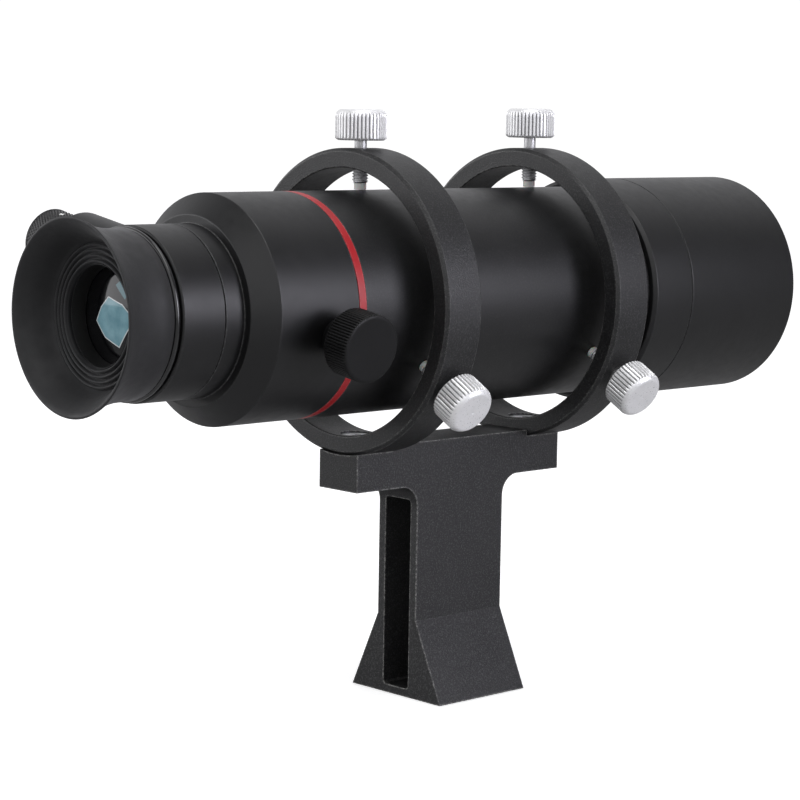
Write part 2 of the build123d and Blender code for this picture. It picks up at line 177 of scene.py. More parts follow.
def anodised(name, dark, light, edge, rough, grain_scale, grain_depth, streak=None, specks=0.0, crevice_shade=0.0,
             gloss=0.5):
    """Dyed aluminium: mottled colour, blasted or turned grain, pale specks, paler edges that are part wear
    and part painted highlight, and, when a shade distance is given, painted shade in crevices.
    """
    material, tree, shader = node_material(name)
    shader.inputs["Specular IOR Level"].default_value = gloss
    cloud = grain(tree, 90.0, 4.0)
    fine = grain(tree, grain_scale, 2.0)
    body = mix_colour(tree, ramp(tree, cloud, 0.0, 1.0, 0.35, 0.65), dark, light)
    if specks:
        speck = ramp(tree, grain(tree, 2600.0, 2.0), 0.0, 1.0, 0.50, 0.72)
        body = mix_colour(tree, speck, body, (specks, specks, specks))
    # Painted shade: an ambient-occlusion mask darkens the colour to near black in crevices and grooves.
    if crevice_shade:
        shade_occlusion = add(tree, "ShaderNodeAmbientOcclusion", samples=6, Distance=crevice_shade)
        unshaded = ramp(tree, shade_occlusion.outputs["AO"], 0.0, 1.0, 0.35, 0.9)
        body = mix_colour(tree, unshaded, (0.0008, 0.0008, 0.001), body)
    # Paler flecked edges: part wear, part painted highlight along sharp edges.
    flecks = ramp(tree, grain(tree, 1500.0, 3.0), 0.15, 1.0, 0.42, 0.62)
    worn_and_highlit = product(tree, edge_mask(tree, 0.0007), flecks)
    tree.links.new(mix_colour(tree, worn_and_highlit, body, edge), shader.inputs["Base Color"])
    tree.links.new(
        ramp(tree, grain(tree, 420.0, 5.0), rough - 0.02, rough + 0.04), shader.inputs["Roughness"]
    )
    height = fine
    if streak:
        height = grain(tree, streak[0], 2.0, streak[1])
    bump(tree, shader, height, grain_depth, 0.8)
    return material


bracket_grey = anodised(
    "bracket_grey", (0.0060, 0.0060, 0.0065), (0.009, 0.009, 0.0095), (0.36, 0.36, 0.34), 0.44,
    2600.0, 0.00010, specks=0.046, gloss=0.42,
)
ring_grey = anodised(
    "ring_grey", (0.0042, 0.0042, 0.0047), (0.0068, 0.0068, 0.0073), (0.40, 0.40, 0.38), 0.42,
    2600.0, 0.00009, specks=0.036,
)
tube_black = anodised(
    "tube_black", (0.0030, 0.0030, 0.0034), (0.0048, 0.0048, 0.0053), (0.10, 0.10, 0.10), 0.38,
    3600.0, 0.000024, specks=0.014,
)
barrel_black = anodised(
    "barrel_black", (0.0026, 0.0026, 0.0030), (0.0042, 0.0042, 0.0047), (0.12, 0.12, 0.12), 0.40,
    6500.0, 0.000012, streak=(900.0, (0.15, 6.0, 0.15)),
)
# The knob's knurl grooves get painted shade from the ambient-occlusion mask.
knob_black = anodised(
    "knob_black", (0.0018, 0.0018, 0.0021), (0.0030, 0.0030, 0.0034), (0.012, 0.012, 0.012), 0.46, 3600.0,
    0.00002, crevice_shade=0.0007, gloss=0.28,
)
red_dye = anodised(
    "red_dye", (0.30, 0.004, 0.008), (0.38, 0.006, 0.012), (0.55, 0.10, 0.10), 0.36, 6500.0, 0.00001
)
stray_black = anodised(
    "stray_black", (0.003, 0.003, 0.003), (0.005, 0.005, 0.005), (0.04, 0.04, 0.04), 0.55, 3000.0, 0.00004
)


def bright_metal(name, colour, rough, streak, metallic=1.0):
    """Turned bare metal with fine tool marks and painted shade in grooves and recesses; below 1 metallic it
    has the milky look of blasted plating.
    """
    material, tree, shader = node_material(name)
    shader.inputs["Metallic"].default_value = metallic
    marks = grain(tree, 2600.0, 2.0, streak)
    tone = ramp(tree, grain(tree, 260.0, 4.0), 0.0, 1.0)
    darker = tuple(c * 0.90 for c in colour)
    # Painted shade: an ambient-occlusion mask darkens the colour to grey in knurl grooves and recesses.
    shade_occlusion = add(tree, "ShaderNodeAmbientOcclusion", samples=6, Distance=0.0005)
    shade = ramp(tree, shade_occlusion.outputs["AO"], 0.0, 1.0, 0.30, 0.85)
    body = mix_colour(tree, tone, darker, colour)
    tree.links.new(mix_colour(tree, shade, (0.13, 0.13, 0.14), body), shader.inputs["Base Color"])
    tree.links.new(ramp(tree, marks, rough - 0.06, rough + 0.08), shader.inputs["Roughness"])
    bump(tree, shader, marks, 0.000008, 0.5)
    return material


head_metal = bright_metal("head_metal", (0.98, 0.98, 0.985), 0.32, (1.0, 1.0, 1.0), 0.45)
steel = bright_metal("steel", (0.80, 0.80, 0.81), 0.33, (1.0, 1.0, 1.0), 0.7)
brass = bright_metal("brass", (0.80, 0.58, 0.27), 0.30, (1.0, 1.0, 1.0))
cell_steel = bright_metal("cell_steel", (0.80, 0.80, 0.78), 0.18, (1.0, 1.0, 1.0))

nylon, tree, shader = node_material("nylon")
shader.inputs["Subsurface Weight"].default_value = 0.35
shader.inputs["Subsurface Scale"].default_value = 0.001
tone = ramp(tree, grain(tree, 500.0, 3.0), (0.62, 0.62, 0.60), (0.78, 0.78, 0.76))
tree.links.new(tone, shader.inputs["Base Color"])
tree.links.new(ramp(tree, grain(tree, 900.0, 3.0), 0.42, 0.58), shader.inputs["Roughness"])
bump(tree, shader, grain(tree, 3500.0), 0.00002, 0.5)

rubber, tree, shader = node_material("rubber")
shader.inputs["Specular IOR Level"].default_value = 0.45
shader.inputs["Sheen Weight"].default_value = 0.10
shader.inputs["Sheen Roughness"].default_value = 0.45
tone = ramp(tree, grain(tree, 70.0, 5.0), (0.007, 0.007, 0.008), (0.012, 0.012, 0.013))
tree.links.new(tone, shader.inputs["Base Color"])
tree.links.new(ramp(tree, grain(tree, 350.0, 5.0), 0.50, 0.66), shader.inputs["Roughness"])
bump(tree, shader, grain(tree, 4200.0, 4.0), 0.00003, 0.5)

gloss_black, tree, shader = node_material("gloss_black")
shader.inputs["Coat Weight"].default_value = 0.6
shader.inputs["Coat Roughness"].default_value = 0.06
tone = ramp(tree, grain(tree, 200.0, 4.0), (0.004, 0.004, 0.0045), (0.007, 0.007, 0.0075))
tree.links.new(tone, shader.inputs["Base Color"])
tree.links.new(ramp(tree, grain(tree, 1500.0, 3.0), 0.14, 0.24), shader.inputs["Roughness"])
bump(tree, shader, grain(tree, 2500.0, 2.0), 0.000005, 0.3)


def glass(name, tint, film, rough, clear=1.0):
    """Optical glass with an anti-reflection film; clear 0 is opaque glass whose dark colour stands for the
    tube behind it: its black inside and painted shade.
    """
    material, tree, shader = node_material(name)
    shader.inputs["Transmission Weight"].default_value = clear
    shader.inputs["IOR"].default_value = 1.52
    shader.inputs["Thin Film Thickness"].default_value = film
    shader.inputs["Thin Film IOR"].default_value = 1.38
    darker = tuple(c * 0.97 for c in tint)
    tree.links.new(ramp(tree, grain(tree, 60.0, 2.0), darker, tint), shader.inputs["Base Color"])
    tree.links.new(ramp(tree, grain(tree, 800.0, 4.0), rough, rough + 0.02), shader.inputs["Roughness"])
    return material


lens_glass = glass("lens_glass", (0.93, 0.99, 0.98), 115.0, 0.0)
# The objective's glass is opaque; its dark colour is the tube's black inside plus painted shade.
front_glass = glass("front_glass", (0.005, 0.009, 0.010), 115.0, 0.01, 0.0)
prism_glass = glass("prism_glass", (0.72, 0.93, 0.95), 110.0, 0.01)


def linear(tree, normal, offset):
    """normal . position + offset, in metres of the object."""
    place = add(tree, "ShaderNodeTexCoord")
    dot = add(tree, "ShaderNodeVectorMath", operation="DOT_PRODUCT")
    dot.inputs[1].default_value = normal
    tree.links.new(place.outputs["Object"], dot.inputs[0])
    plus = add(tree, "ShaderNodeMath", operation="ADD")
    plus.inputs[1].default_value = offset
    tree.links.new(dot.outputs["Value"], plus.inputs[0])
    return plus.outputs[0]


def inside(tree, corners):
    """Distance in from the nearest side of a convex outline of (x, z) corners, in mm about the axis."""
    nearest = None
    for i, (x, z) in enumerate(corners):
        after_x, after_z = corners[(i + 1) % len(corners)]
        length = math.hypot(after_x - x, after_z - z)
        normal = ((after_z - z) / length, 0, -(after_x - x) / length)
        offset = -(normal[0] * x + normal[2] * (z + AXIS_Z)) * MM
        value = linear(tree, normal, offset)
        if nearest is None:
            nearest = value
        else:
            smaller = add(tree, "ShaderNodeMath", operation="MINIMUM")
            tree.links.new(nearest, smaller.inputs[0])
            tree.links.new(value, smaller.inputs[1])
            nearest = smaller.outputs[0]
    return nearest


def span(tree, value, start, end):
    """0 below start, 1 above end."""
    node = add(tree, "ShaderNodeMapRange", interpolation_type="SMOOTHSTEP")
    node.inputs["From Min"].default_value = start * MM
    node.inputs["From Max"].default_value = end * MM
    tree.links.new(value, node.inputs["Value"])
    return node.outputs["Result"]


# The eye lens is opaque dark glass, standing for the black and shaded inside behind it, with painted light:
# the lit rear face of the roof prism fills this outline, and a faint painted reflection ghost fills the
# next.
PAINTED_PRISM_FACE = ((-5.9, -1.5), (-3.9, 1.8), (-1.15, 4.3), (4.0, 2.8), (8.0, -0.3), (2.5, -7.1), (-2.6, -5.1))
PAINTED_GHOST_REFLECTION = ((0.9, 6.9), (3.4, 8.6), (7.0, 6.0), (4.6, 3.7))
eye_glass, tree, shader = node_material("eye_glass")
shader.inputs["Coat Weight"].default_value = 0.35
shader.inputs["Coat Roughness"].default_value = 0.02
shader.inputs["Specular IOR Level"].default_value = 0.25
face = inside(tree, PAINTED_PRISM_FACE)
ghost = inside(tree, PAINTED_GHOST_REFLECTION)
cloud = ramp(tree, grain(tree, 260.0, 3.0), (0.13, 0.28, 0.33), (0.22, 0.40, 0.46), 0.35, 0.65)
# Painted reflection: a faint teal ghost inside the second outline, dark elsewhere.
colour = mix_colour(tree, span(tree, ghost, 0.0, 0.25), (0.003, 0.003, 0.0035), (0.10, 0.20, 0.23))
# Painted light: the lit prism face is mottled teal with a pale painted highlight along its rim.
rim = mix_colour(tree, span(tree, face, 0.16, 0.42), (0.72, 0.76, 0.76), cloud)
colour = mix_colour(tree, span(tree, face, 0.0, 0.12), colour, rim)
tree.links.new(colour, shader.inputs["Base Color"])
tree.links.new(ramp(tree, grain(tree, 900.0, 2.0), 0.06, 0.12), shader.inputs["Roughness"])

cap_black, tree, shader = node_material("cap_black")
place = add(tree, "ShaderNodeTexCoord")
away = add(tree, "ShaderNodeVectorMath", operation="DISTANCE")
away.inputs[1].default_value = (-0.0649, -0.0703, 0.1184)
tree.links.new(place.outputs["Object"], away.inputs[0])
dot_mark = span(tree, away.outputs["Value"], 0.75, 0.6)
dark = mix_colour(tree, grain(tree, 600.0), (0.003, 0.003, 0.0034), (0.006, 0.006, 0.0065))
tree.links.new(mix_colour(tree, dot_mark, dark, (0.85, 0.85, 0.83)), shader.inputs["Base Color"])
tree.links.new(ramp(tree, grain(tree, 420.0, 5.0), 0.30, 0.42), shader.inputs["Roughness"])
bump(tree, shader, grain(tree, 5200.0, 2.0), 0.00002, 0.5)

lamp_red, tree, shader = node_material("lamp_red")
shader.inputs["Transmission Weight"].default_value = 0.4
tone = ramp(tree, grain(tree, 700.0, 2.0), (0.45, 0.01, 0.01), (0.62, 0.02, 0.02))
tree.links.new(tone, shader.inputs["Base Color"])
tree.links.new(ramp(tree, grain(tree, 700.0, 2.0), 0.15, 0.25), shader.inputs["Roughness"])


# ------------------------------------------------------------------ mesh makers
ALONG_Y = Matrix.Translation((0, 0, AXIS_Z * MM)) @ Matrix.Rotation(math.radians(-90), 4, "X")


def radial(y, angle):
    """A frame on the optical axis whose Z points outwards at this angle from +X."""
    a = math.radians(angle)
    out = Vector((math.cos(a), 0, math.sin(a)))
    across = Vector((0, 1, 0))
    side = out.cross(across)
    turn = Matrix((across, side, out)).transposed().to_4x4()
    return Matrix.Translation((0, y * MM, AXIS_Z * MM)) @ turn


def rounded(outline, radius, steps=3):
    """Round the corners of a closed (height, radius) outline with small arcs."""
    points = [Vector(p) for p in outline]
    result = []
    for i, corner in enumerate(points):
        back = points[i - 1] - corner
        ahead = points[(i + 1) % len(points)] - corner
        if corner.y < 1e-6 or back.length < 1e-6 or ahead.length < 1e-6:
            result.append(tuple(corner))
            continue
        reach = min(radius, back.length * 0.45, ahead.length * 0.45)
        turn = back.angle(ahead)
        if turn > math.radians(165):
            result.append(tuple(corner))
            continue
        start = corner + back.normalized() * reach
        end = corner + ahead.normalized() * reach
        if back.length > reach * 3:
            result.append(tuple(start + back.normalized() * reach * 0.35))
        for k in range(steps + 1):
            t = k / steps
            result.append(tuple(start * (1 - t) ** 2 + corner * 2 * t * (1 - t) + end * t**2))
        if ahead.length > reach * 3:
            result.append(tuple(end + ahead.normalized() * reach * 0.35))
    return result


def finish_piece(name, mesh, matrix, material, body, node=None, sharp=38):
    piece = bpy.data.objects.new(name, mesh)
    bpy.context.scene.collection.objects.link(piece)
    mesh.transform(matrix)
    mesh.materials.append(material)
    for face in mesh.polygons:
        face.use_smooth = True
    mesh.set_sharp_from_angle(angle=math.radians(sharp))
    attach(piece, body)
    if node:
        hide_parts(*([node] if isinstance(node, str) else node))
    return piece


def lathe_mesh(name, outline, segments, warp=None):
    """Turn a closed (height, radius) outline in mm about Z; warp changes a radius by angle and height."""
    vertices = []
    rows = []
    for height, radius in outline:
        if radius < 1e-6:
            rows.append([len(vertices)] * segments)
            vertices.append((0, 0, height * MM))
            continue
        row = []
        for k in range(segments):
            a = 2 * math.pi * k / segments
            r = radius if warp is None else warp(a, height, radius)
            row.append(len(vertices))
            vertices.append((r * math.cos(a) * MM, r * math.sin(a) * MM, height * MM))
        rows.append(row)
    faces = []
    for i, row in enumerate(rows):
        following = rows[(i + 1) % len(rows)]
        for k in range(segments):
            j = (k + 1) % segments
            ring = [row[k], row[j], following[j], following[k]]
            corners = []
            for v in ring:
                if v not in corners:
                    corners.append(v)
            if len(corners) > 2:
                faces.append(corners)
    mesh = bpy.data.meshes.new(name)
    mesh.from_pydata(vertices, [], faces)
    mesh.validate()
    return mesh


def lathe(name, outline, material, body, node=None, matrix=ALONG_Y, segments=256,
          soften=0.15, warp=None, sharp=38):
    if soften:
        outline = rounded(outline, soften)
    mesh = lathe_mesh(name, outline, segments, warp)
    return finish_piece(name, mesh, matrix, material, body, node, sharp)


def ridged(start, end, radius, pitch, depth):
    """Points of a saw-toothed bore between two heights."""
    count = max(1, round(abs(end - start) / pitch))
    step = (end - start) / count
    points = []
    for i in range(count):
        points.append((start + i * step, radius))
        points.append((start + (i + 0.5) * step, radius + depth))
    points.append((end, radius))
    return points


def arc(centre_height, rim_height, radius, steps=24):
    """A spherical surface from the axis out to its rim."""
    sag = rim_height - centre_height
    sphere = (radius**2 + sag**2) / (2 * sag)
    points = []
    for i in range(steps + 1):
        r = radius * i / steps
        points.append((centre_height + sphere - math.copysign(math.sqrt(sphere**2 - r**2), sphere), r))
    return points


def solid(name, vertices, faces, matrix=Matrix.Identity(4)):
    mesh = bpy.data.meshes.new(name)
    mesh.from_pydata([tuple(c * MM for c in v) for v in vertices], [], faces)
    mesh.transform(matrix)
    mesh.update()
    piece = bpy.data.objects.new(name, mesh)
    bpy.context.scene.collection.objects.link(piece)
    return piece


def prism_solid(name, outline, low, high, axis):
    """Extrude an outline along X ("x": points are y, z) or Y ("y": points are x, z)."""
    count = len(outline)
    if axis == "x":
        vertices = [(low, a, b) for a, b in outline] + [(high, a, b) for a, b in outline]
    else:
        vertices = [(a, low, b) for a, b in outline] + [(a, high, b) for a, b in outline]
    faces = [list(range(count)), list(range(2 * count - 1, count - 1, -1))]
    for i in range(count):
        j = (i + 1) % count
        faces.append([i, i + count, j + count, j])
    piece = solid(name, vertices, faces)
    recalculate(piece)
    return piece


def recalculate(piece):
    bm = bmesh.new()
    bm.from_mesh(piece.data)
    bmesh.ops.recalc_face_normals(bm, faces=bm.faces)
    bm.to_mesh(piece.data)
    bm.free()


def combine(target, tool, operation):
    """Boolean the tool into the target and remove the tool."""
    modifier = target.modifiers.new("combine", "BOOLEAN")
    modifier.operation = operation
    modifier.object = tool
    modifier.solver = "EXACT"
    bake(target)
    bpy.data.objects.remove(tool)


def bake(piece):
    """Apply every modifier of a piece to its mesh."""
    bpy.context.view_layer.update()
    evaluated = piece.evaluated_get(bpy.context.evaluated_depsgraph_get())
    mesh = bpy.data.meshes.new_from_object(evaluated)
    piece.modifiers.clear()
    piece.data = mesh


def cutter(outline, matrix, segments=48):
    """A turned solid used to cut another piece."""
    mesh = lathe_mesh("cutter", outline, segments)
    mesh.transform(matrix)
    piece = bpy.data.objects.new("cutter", mesh)
    bpy.context.scene.collection.objects.link(piece)
    recalculate(piece)
    return piece


def adopt(piece, material, body, node, sharp=32):
    """Give a piece built in place its material, shading and CAD body."""
    piece.data.materials.clear()
    piece.data.materials.append(material)
    for face in piece.data.polygons:
        face.use_smooth = True
        face.material_index = 0
    piece.data.set_sharp_from_angle(angle=math.radians(sharp))
    even = piece.modifiers.new("even", "WEIGHTED_NORMAL")
    even.keep_sharp = True
    bake(piece)
    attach(piece, body)
    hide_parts(node)
    return piece


# ------------------------------------------------------------------ bracket and rings
def corner_arc(centre, radius, start, end, steps=10):
    points = []
    for i in range(steps + 1):
        a = math.radians(start + (end - start) * i / steps)
        points.append((centre[0] + radius * math.cos(a), centre[1] + radius * math.sin(a)))
    return points


tee = [(-HALF_POST, 0), (HALF_POST, 0)]
tee += corner_arc((HALF_POST + FILLET, UNDERSIDE - FILLET), FILLET, 180, 90)
tee += [
    (HALF_PLATFORM, UNDERSIDE), (HALF_PLATFORM, PLATFORM_TOP), (-HALF_PLATFORM, PLATFORM_TOP),
    (-HALF_PLATFORM, UNDERSIDE),
]
tee += corner_arc((-HALF_POST - FILLET, UNDERSIDE - FILLET), FILLET, 90, 0)
bracket = prism_solid("bracket_body", tee, -HALF_POST_WIDTH, HALF_POST_WIDTH, "x")
wedge = [(-HALF_FOOT, 0), (HALF_FOOT, 0), (HALF_POST_WIDTH, FLARE_TOP), (-HALF_POST_WIDTH, FLARE_TOP)]
flare = prism_solid("flare", wedge, -HALF_POST, HALF_POST, "y")
combine(bracket, flare, "UNION")
window = corner_arc((HALF_WINDOW, WINDOW_HIGH), WINDOW_CORNER, 0, 90, 4)
window += corner_arc((-HALF_WINDOW, WINDOW_HIGH), WINDOW_CORNER, 90, 180, 4)
window += corner_arc((-HALF_WINDOW, WINDOW_LOW), WINDOW_CORNER, 180, 270, 4)
window += corner_arc((HALF_WINDOW, WINDOW_LOW), WINDOW_CORNER, 270, 360, 4)
combine(bracket, prism_solid("window", window, -25, 25, "y"), "DIFFERENCE")
for side in (-1, 1):
    low = side * RING_CENTRE - RING_WIDTH / 2
    high = side * RING_CENTRE + RING_WIDTH / 2
    if side < 0:
        low -= 2
    else:
        high += 2
    saddle = [(low, 0), (high, 0), (high, RING_OUTER), (low, RING_OUTER)]
    combine(bracket, cutter(saddle, ALONG_Y, 256), "DIFFERENCE")
bevel = bracket.modifiers.new("bevel", "BEVEL")
bevel.width = 0.10 * MM
bevel.segments = 2
bevel.limit_method = "ANGLE"
bevel.angle_limit = math.radians(20)
bake(bracket)
adopt(bracket, bracket_grey, "bracket", "bracket")

for ring_name, ring_y in (("rear", -RING_CENTRE), ("front", RING_CENTRE)):
    low = ring_y - RING_WIDTH / 2
    high = ring_y + RING_WIDTH / 2
    outline = [
        (low, RING_INNER + 0.25), (low, RING_OUTER - RING_CHAMFER), (low + RING_CHAMFER, RING_OUTER),
        (high - RING_CHAMFER, RING_OUTER), (high, RING_OUTER - RING_CHAMFER), (high, RING_INNER + 0.25),
        (high - 0.25, RING_INNER), (low + 0.25, RING_INNER),
    ]
    mesh = lathe_mesh(f"{ring_name}_ring_body", rounded(outline, 0.12, 2), 320)
    mesh.transform(ALONG_Y)
    ring = bpy.data.objects.new(f"{ring_name}_ring_body", mesh)
    bpy.context.scene.collection.objects.link(ring)
    recalculate(ring)
    for angle in SCREW_ANGLES.values():
        combine(ring, cutter([(20, 0), (20, 2.0), (45, 2.0), (45, 0)], radial(ring_y, angle)), "DIFFERENCE")
    seat = [(30, 0), (30, 4.0), (32.6, 4.0), (34.6, 2.0), (40, 2.0), (40, 0)]
    combine(ring, cutter(seat, radial(ring_y, 270)), "DIFFERENCE")
    adopt(ring, ring_grey, "bracket", f"{ring_name}_ring")


# ------------------------------------------------------------------ thumbscrews
def v_groove(angle, teeth, flat=0.25):
    """0 on a tooth's crest and 1 at the bottom of the groove."""
    phase = (angle * teeth / (2 * math.pi)) % 1.0
    distance = abs(phase - 0.5) * 2
    return min(1.0, max(0.0, (1 - distance - flat) / (1 - flat)) * 1.15)


def knurled(low, high, radius, teeth, depth, lead=0.35):
    """A warp that cuts straight grooves between two heights."""
    def warp(angle, height, r):
        if r < radius - 1.2:
            return r
        enter = min(1.0, max(0.0, (height - low) / lead))
        leave = min(1.0, max(0.0, (high - height) / lead))
        return min(r, radius - depth * v_groove(angle, teeth, 0.45) * min(enter, leave))
    return warp


def threaded(low, high, root, crest, pitch, right_hand=1):
    """A warp that turns a plain shank into a helical thread between two heights."""
    def warp(angle, height, r):
        if not low <= height <= high or r < root:
            return r
        phase = (height / pitch - right_hand * angle / (2 * math.pi)) % 1.0
        wave = 1 - abs(phase - 0.5) * 2
        wave = min(1.0, max(0.0, (wave - 0.12) / 0.7))
        fade = min(1.0, (height - low) / 0.35, (high - height) / 0.35)
        return root + (crest - root) * wave * max(0.0, fade)
    return warp


def spread(outline, step):
    """Add points along an outline so that no run is longer than step."""
    points = []
    for i, start in enumerate(outline):
        end = outline[(i + 1) % len(outline)]
        count = max(1, math.ceil(math.dist(start, end) / step))
        for k in range(count):
            t = k / count
            points.append((start[0] + (end[0] - start[0]) * t, start[1] + (end[1] - start[1]) * t))
    return points


for ring_name, ring_y in (("rear", -RING_CENTRE), ("front", RING_CENTRE)):
    base = HEAD_LIFT[ring_name]
    top = base + HEAD_LENGTH
    for place, angle in SCREW_ANGLES.items():
        where = radial(ring_y, angle)
        screw = f"{ring_name}_{place}_screw"
        head = [
            (base, 0), (base, HEAD_R - 0.75), (base + 0.15, HEAD_R - 0.5), (base + 0.5, HEAD_R),
            (base + 1.0, HEAD_R), (top - 2.0, HEAD_R), (top - 1.35, HEAD_R - 0.02),
            (top - 0.9, HEAD_R - 0.22),
            (top - 0.45, HEAD_R - 0.55), (top - 0.12, HEAD_R - 1.0), (top - 0.01, HEAD_R - 1.3),
            (top, HEAD_R - 1.42), (top, HEAD_R - 1.6), (top, 0.5), (top - 0.01, 0.4), (top - 0.12, 0.2),
            (top - 0.15, 0),
        ]
        lathe(
            f"{screw}_head", head, head_metal, screw, screw, where, 400, 0.0,
            knurled(base + 0.1, top - 0.95, HEAD_R, HEAD_TEETH, 0.42, 0.3), 50,
        )
        shank = spread([(28.6, 0), (28.6, M4_R), (36.6, M4_R)], 0.07)
        shank = [p for p in shank if p[1] > 1.9 or p[0] < 28.7]
        shank += [(36.7, NECK_SCREW_R), (base + 0.05, NECK_SCREW_R), (base + 0.05, 0)]
        lathe(
            f"{screw}_thread", shank, steel, screw, None, where, 40, 0.0,
            threaded(28.65, 36.6, M4_ROOT_R, M4_R, M4_PITCH), 60,
        )
        tip = f"{ring_name}_{place}_tip"
        pad = [(26.95, 0), (26.95, 1.5), (28.55, 1.5), (28.55, 0.9), (30.8, 0.9), (30.8, 0)]
        lathe(f"{tip}_pad", pad, nylon, tip, tip, where, 64, 0.18)

# ------------------------------------------------------------------ tube
tube_outline = [
    (-63.0, 20.0), (-63.0, SPIGOT_R), (-61.8, SPIGOT_R), (-61.8, 22.7), (-58.6, 22.7), (-58.6, SPIGOT_R),
    (TUBE_REAR, SPIGOT_R), (TUBE_REAR, TUBE_R), (TUBE_FRONT, TUBE_R), (TUBE_FRONT, NOSE_R), (73.0, NOSE_R),
    (73.0, TUBE_BORE), (-47.0, TUBE_BORE), (-47.0, 20.0),
]
lathe("main_tube_body", tube_outline, tube_black, "scope", "main_tube", soften=0.12)
band = [(BAND_REAR, SPIGOT_R), (BAND_REAR, TUBE_R), (TUBE_REAR, TUBE_R), (TUBE_REAR, SPIGOT_R)]
lathe("red_band_body", band, red_dye, "scope", "red_band", soften=0.10)

ring = [
    (46.5, 26.35), (46.5, 28.0), (47.4, FRONT_R), (60.9, FRONT_R), (61.1, 28.7), (61.1, 26.35),
]
lathe("lock_ring_body", ring, barrel_black, "lock_ring", "lock_ring", soften=0.15)
bore = ridged(90.6, 102.6, SHIELD_BORE, 0.8, 0.28)
shield = [
    (61.2, SHIELD_BORE), (61.2, 28.7), (61.4, FRONT_R), (103.0, FRONT_R), (SHIELD_END, 28.6),
    (SHIELD_END, 27.85), (103.0, 27.5),
]
shield = rounded(shield, 0.12, 2) + list(reversed(bore)) + [(90.2, SHIELD_BORE)]
lathe(
    "dew_shield_body", shield, barrel_black, "dew_shield", "dew_shield", soften=0.0,
    sharp=30,
)
cell = [
    (61.6, 26.35), (61.6, SHIELD_BORE), (90.0, SHIELD_BORE), (90.0, CELL_BORE), (76.4, CELL_BORE),
    (76.4, 24.6), (73.4, 24.6), (73.4, 26.35),
]
lathe("objective_cell_body", cell, stray_black, "dew_shield", "objective_cell", soften=0.15)
crown = arc(88.8, 86.1, LENS_R) + list(reversed(arc(79.5, 83.1, LENS_R)))
lathe(
    "crown_lens_body", crown, front_glass, "objective_glass", "crown_lens", soften=0.0,
    sharp=30,
)
flint = arc(79.2, 82.8, LENS_R) + list(reversed(arc(75.7, 76.5, LENS_R)))
lathe(
    "flint_lens_body", flint, front_glass, "objective_glass", "flint_lens", soften=0.0,
    sharp=30,
)

# ------------------------------------------------------------------ rear housing and knobs
housing = [
    (HOUSING_FRONT, 23.55), (HOUSING_FRONT, TUBE_R), (-76.2, TUBE_R), (-81.1, 21.95), (-81.1, NECK_R),
    (NECK_REAR, NECK_R), (NECK_REAR, 16.5), (-95.0, 16.5), (-95.0, EYE_BORE), (-74.0, EYE_BORE),
    (-74.0, 18.5), (-63.5, 18.5), (-63.5, 23.55),
]
lathe(
    "rear_housing_body", housing, barrel_black, "rear_housing", "rear_housing",
    soften=0.18,
)

knob_place = radial(KNOB_Y, -ROLL)
knob = [
    (24.4, 0), (24.4, 2.0), (27.6, 2.0), (27.6, 4.3), (27.8, 4.5), (31.8, 4.5), (31.8, 7.3), (32.0, 7.6),
    (32.4, KNOB_R), (33.0, KNOB_R), (38.4, KNOB_R), (39.0, KNOB_R), (39.25, 7.72),
    (39.4, 7.45), (39.4, 6.9), (39.4, 0),
]
lathe(
    "lock_knob_body", knob, knob_black, "lock_knob", "lock_knob", knob_place, 640, 0.0,
    knurled(31.9, 39.35, KNOB_R, KNOB_TEETH, 0.36, 0.25), 50,
)

lamp_place = radial(LAMP_Y, 180 - ROLL)
body = [
    (19.6, 0), (19.6, 4.0), (30.2, 4.0), (30.2, 8.2), (31.8, LAMP_R), (59.4, LAMP_R), (61.2, 8.9),
    (62.0, 7.6),
    (62.0, 6.0), (36.0, 6.0), (36.0, 0),
]
lathe(
    "illuminator_case", body, barrel_black, "rear_housing", "illuminator_body", lamp_place,
    128, 0.35,
)


def diamond(low, high, radius, teeth, depth, slope):
    """A warp that cuts a diamond knurl between two heights."""
    def warp(angle, height, r):
        if not low < height < high or r < radius - 0.9:
            return r
        twist = (height - low) * slope
        cut = max(v_groove(angle + twist, teeth, 0.1), v_groove(angle - twist, teeth, 0.1))
        fade = min(1.0, (height - low) / 0.3, (high - height) / 0.3)
        return min(r, radius - depth * cut * fade)
    return warp


cap = [(57.0, 0), (57.0, 5.95), (62.3, 5.95), (62.3, 7.3), (62.8, CAP_R), (72.1, CAP_R), (72.5, 7.6)]
cap += [(72.7, 7.1)]
cap = cap[:2] + spread(cap[2:], 0.24) + [(72.7, 7.0), (72.7, 6.8), (72.7, 0)]
lathe(
    "dimmer_cap_body", cap, cap_black, "dimmer_cap", "dimmer_cap", lamp_place, 336, 0.0,
    diamond(62.9, 72.0, CAP_R, CAP_TEETH, 0.26, 0.085), 60,
)

# ------------------------------------------------------------------ eyepiece
ring = [
    (-86.45, 16.6), (-86.45, 19.8), (-86.65, NECK_R), (-97.85, NECK_R), (-98.15, 19.6), (-98.15, EYE_BORE),
    (-95.15, EYE_BORE), (-95.15, 16.6),
]
lathe("dioptre_ring_body", ring, barrel_black, "dioptre_ring", "dioptre_ring", soften=0.12)
ring = [(-98.25, 16.8), (-98.25, 18.9), (-98.7, 19.5), (-99.2, 19.72), (-99.6, 19.7), (-99.96, 19.3)]
ring += [(-99.96, 16.8)]
lathe("trim_ring_body", ring, gloss_black, "eyepiece", "trim_ring", soften=0.3)
cell = [
    (-76.5, 12.4), (-76.5, 14.5), (-98.25, 14.5), (-98.25, 16.8), (-105.4, 16.8), (-105.4, 11.6),
    (-102.6, 11.0),
    (-101.8, 11.0), (-101.8, 12.4),
]
lathe("eyepiece_cell_body", cell, stray_black, "eyepiece", "eyepiece_cell", soften=0.1)
